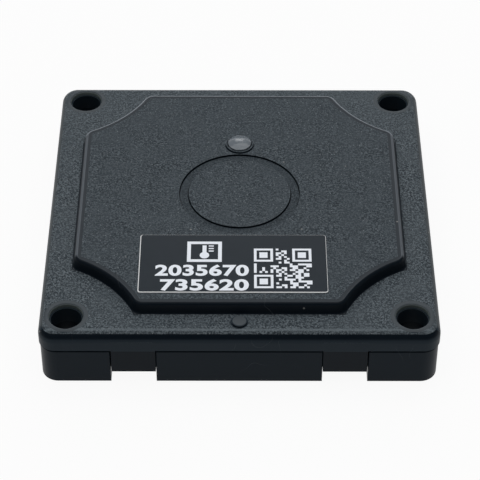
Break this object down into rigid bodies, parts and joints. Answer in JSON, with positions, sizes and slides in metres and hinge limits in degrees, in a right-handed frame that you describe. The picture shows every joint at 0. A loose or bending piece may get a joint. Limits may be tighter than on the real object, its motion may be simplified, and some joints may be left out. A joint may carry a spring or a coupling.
{
  "type": "temperature sensor beacon",
  "caption": "Flat square wireless temperature beacon with a raised plateau, domed status lens, central press disc and corner screw holes.",
  "frame": {"origin": "on the flat mounting face, under the centre of the square case", "axes": "+Z out of the mounting face towards the press disc; +Y from the label towards the status lens; +X to the right when the label is read"},
  "size_m": [0.058, 0.058, 0.0121],
  "materials": {
    "cover_plastic": "black ABS, spark-eroded grain on top, smooth sides",
    "base_plastic": "black ABS, satin",
    "ring_elastomer": "black soft moulding, fine grain",
    "lens_plastic": "smoky clear, glossy",
    "label_film": "near-black laminated tape, white print",
    "gasket_rubber": "soft black rubber",
    "board_laminate": "green solder mask over glass laminate",
    "screw_steel": "zinc plated",
    "switch_plastic": "black moulding",
    "switch_steel": "satin tin plate",
    "plunger_plastic": "brown moulding",
    "led_resin": "pale resin in a white cup",
    "shield_tin": "bright tin plate",
    "chip_epoxy": "black moulding compound",
    "crystal_metal": "nickel lid",
    "antenna_ceramic": "white ceramic",
    "tantalum_resin": "ochre moulding",
    "capacitor_ceramic": "tan ceramic with tinned ends",
    "resistor_ceramic": "black film with tinned ends",
    "gold_plate": "gold over nickel",
    "thermal_gel": "soft pale silicone",
    "cell_steel": "polished nickel-plated steel",
    "nylon": "translucent nylon",
    "cell_fill": "dark pressed powder and soft metal",
    "spring_steel": "nickel-plated spring steel"
  },
  "bodies": {
    "housing": {"top_cover": "cover_plastic", "base_shell": "base_plastic", "seal_gasket": "gasket_rubber", "flex_ring": "ring_elastomer", "status_lens": "lens_plastic", "id_label": "label_film", "circuit_board": "board_laminate", "board_screws": "screw_steel", "switch_base": "switch_plastic", "switch_frame": "switch_steel", "switch_dome": "spring_steel", "switch_terminals": "switch_steel", "status_led": "led_resin", "radio_shield": "shield_tin", "radio_chip": "chip_epoxy", "radio_crystal": "crystal_metal", "clock_crystal": "crystal_metal", "chip_antenna": "antenna_ceramic", "reservoir_capacitor": "tantalum_resin", "chip_capacitors": "capacitor_ceramic", "chip_resistors": "resistor_ceramic", "test_pads": "gold_plate", "temperature_chip": "chip_epoxy", "thermal_pad": "thermal_gel", "coin_cell_can": "cell_steel", "coin_cell_cap": "cell_steel", "coin_cell_seal": "nylon", "coin_cell_core": "cell_fill", "cell_clip": "spring_steel", "negative_contact": "spring_steel"},
    "button": {"press_disc": "cover_plastic"},
    "plunger": {"switch_plunger": "plunger_plastic"}
  },
  "joints": [
    {"name": "button_press", "type": "slide", "parent": "housing", "child": "button", "axis": [0, 0, -1], "range_m": [0, 0.00025], "stiffness_N_per_m": 6400},
    {"name": "plunger_press", "type": "slide", "parent": "housing", "child": "plunger", "axis": [0, 0, -1], "range_m": [0, 0.00025], "deforming": ["switch_dome"]}
  ],
  "couplings": [
    {"joint": "plunger_press", "follows": "button_press", "ratio": 1}
  ]
}
